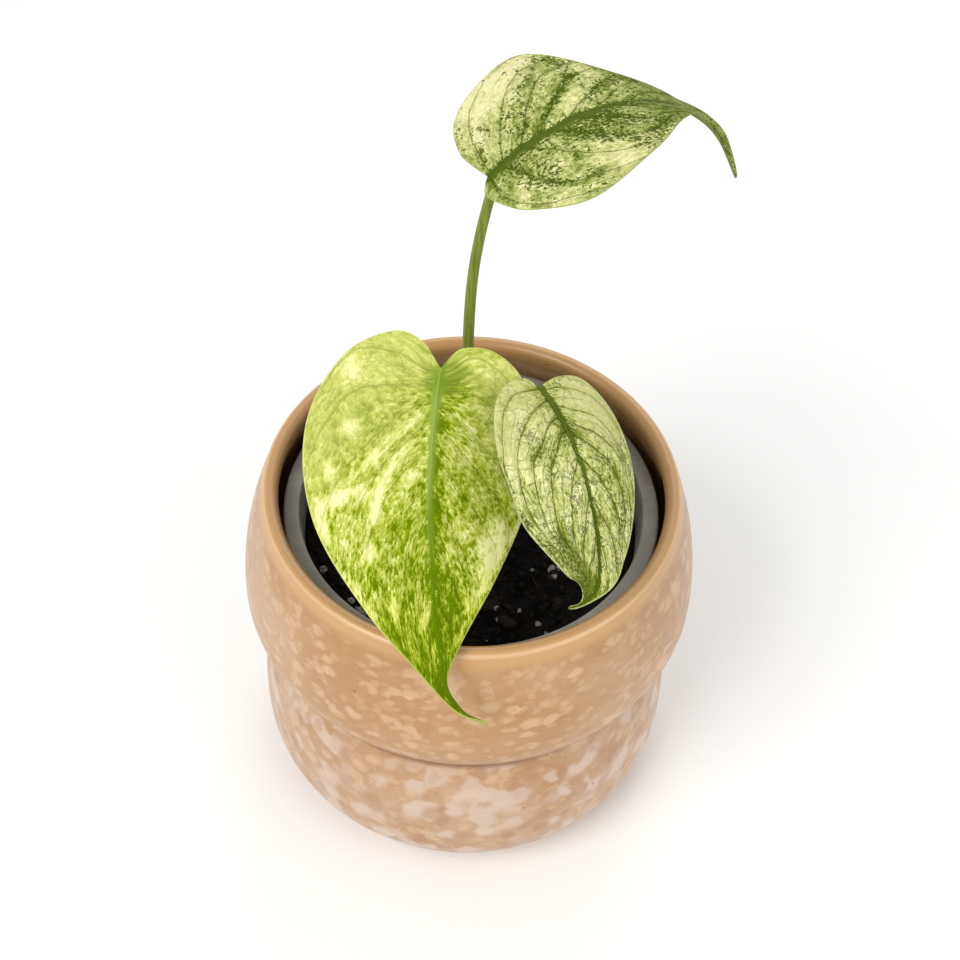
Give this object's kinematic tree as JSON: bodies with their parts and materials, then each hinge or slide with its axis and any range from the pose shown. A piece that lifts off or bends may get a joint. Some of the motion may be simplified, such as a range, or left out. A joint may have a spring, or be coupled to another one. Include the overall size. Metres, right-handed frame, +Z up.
{
  "type": "potted variegated monstera plant",
  "caption": "Young variegated monstera with heart-shaped leaves on slender stalks, in soil in a grey nursery pot set inside a rounded two-tier ceramic cover pot.",
  "frame": {"origin": "middle of the flat base of the ceramic cover pot, on the surface it stands on", "axes": "+Z up through the pots and the plant, -Y towards the side over which the largest leaf hangs, +X towards the side to which the highest leaf points"},
  "size_m": [0.118, 0.1233, 0.2077],
  "materials": {
    "cover_glaze": "warm peach glaze with soft pale mottling, glossy",
    "grey_plastic": "warm grey moulded plastic, matte",
    "potting_soil": "dark moist potting mix with bark and white perlite",
    "stalk": "smooth olive green stalk, slightly glossy",
    "lime_leaf": "lime green leaf densely marbled with pale yellow, satin",
    "mint_leaf": "mint and cream leaf with dark green veins and speckles, satin",
    "cream_leaf": "cream leaf speckled with dark green, satin"
  },
  "bodies": {
    "root": {"ceramic_pot": "cover_glaze", "nursery_pot": "grey_plastic", "soil": "potting_soil", "stem": "stalk", "petiole_large": "stalk", "petiole_small": "stalk", "petiole_tall": "stalk", "leaf_large": "lime_leaf", "leaf_small": "mint_leaf", "leaf_tall": "cream_leaf"}
  },
  "joints": []
}
